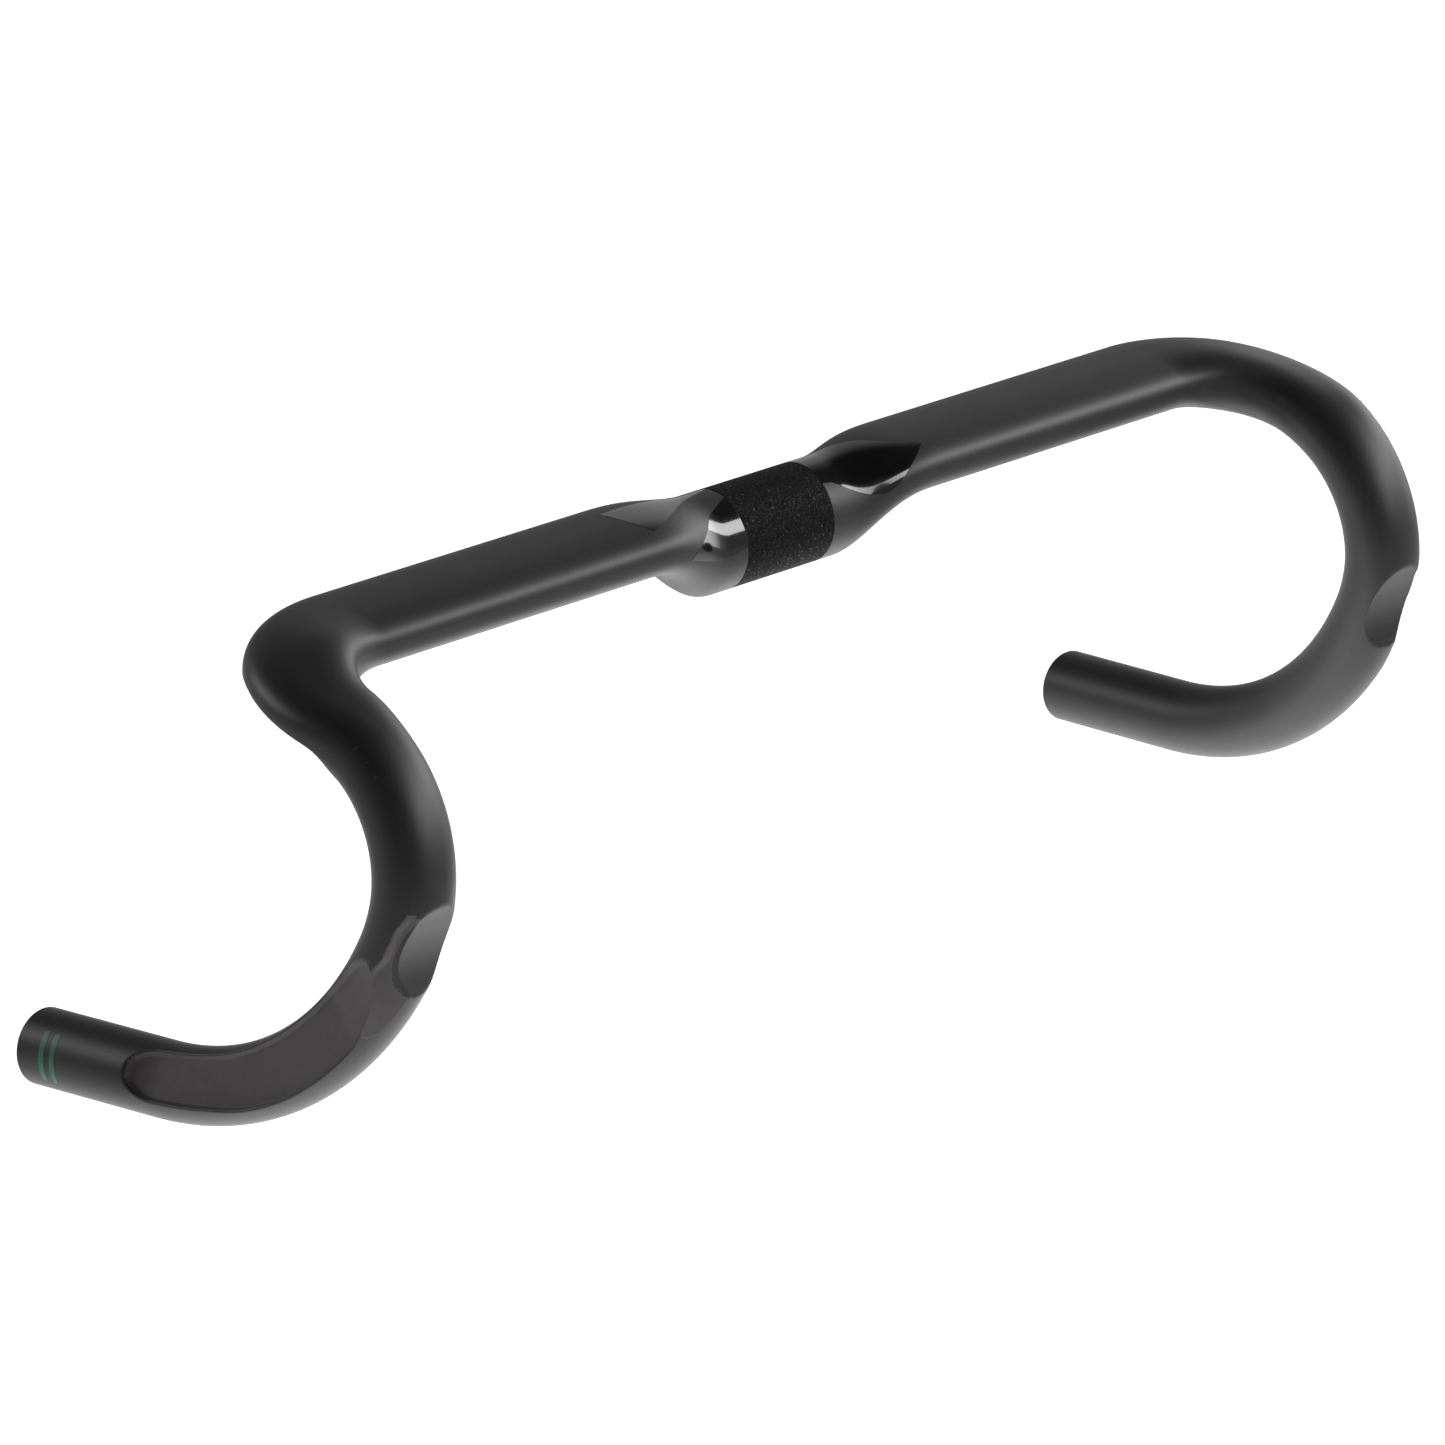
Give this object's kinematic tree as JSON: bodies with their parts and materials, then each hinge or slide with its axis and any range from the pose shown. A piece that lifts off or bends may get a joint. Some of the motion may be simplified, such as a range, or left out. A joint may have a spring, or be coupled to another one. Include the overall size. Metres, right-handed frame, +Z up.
{
  "type": "drop handlebar",
  "caption": "Road drop handlebar in satin black carbon: flattened tops, round stem clamp barrel, compact hooks with finger scoops, open tube ends.",
  "frame": {"origin": "centre of the stem clamp barrel", "axes": "+X along the tops to the rider's left, -Y forward, +Z up with the tops level"},
  "size_m": [0.4698, 0.159, 0.1651],
  "materials": {
    "carbon_satin": "satin clear-coated black carbon fibre",
    "carbon_raw": "raw moulded carbon fibre",
    "epoxy": "cured structural adhesive",
    "grit_paint": "rough non-slip grit in matte paint",
    "gloss_black": "gloss black decal under clear coat",
    "mark_green": "printed green bars",
    "mark_grey": "printed grey ticks"
  },
  "bodies": {
    "root": {"tops_moulding": "carbon_satin", "left_drop_moulding": "carbon_satin", "right_drop_moulding": "carbon_satin", "left_joint_spigot": "carbon_raw", "right_joint_spigot": "carbon_raw", "left_inner_bond_film": "epoxy", "left_outer_bond_film": "epoxy", "right_inner_bond_film": "epoxy", "right_outer_bond_film": "epoxy", "clamp_sleeve": "carbon_raw", "clamp_sleeve_bond": "epoxy", "clamp_grit_band": "grit_paint", "gloss_panel_left": "gloss_black", "gloss_panel_right_front": "gloss_black", "gloss_panel_right_top": "gloss_black", "left_end_mark": "mark_green", "right_end_mark": "mark_green", "left_lever_scale": "mark_grey", "right_lever_scale": "mark_grey"}
  },
  "joints": []
}
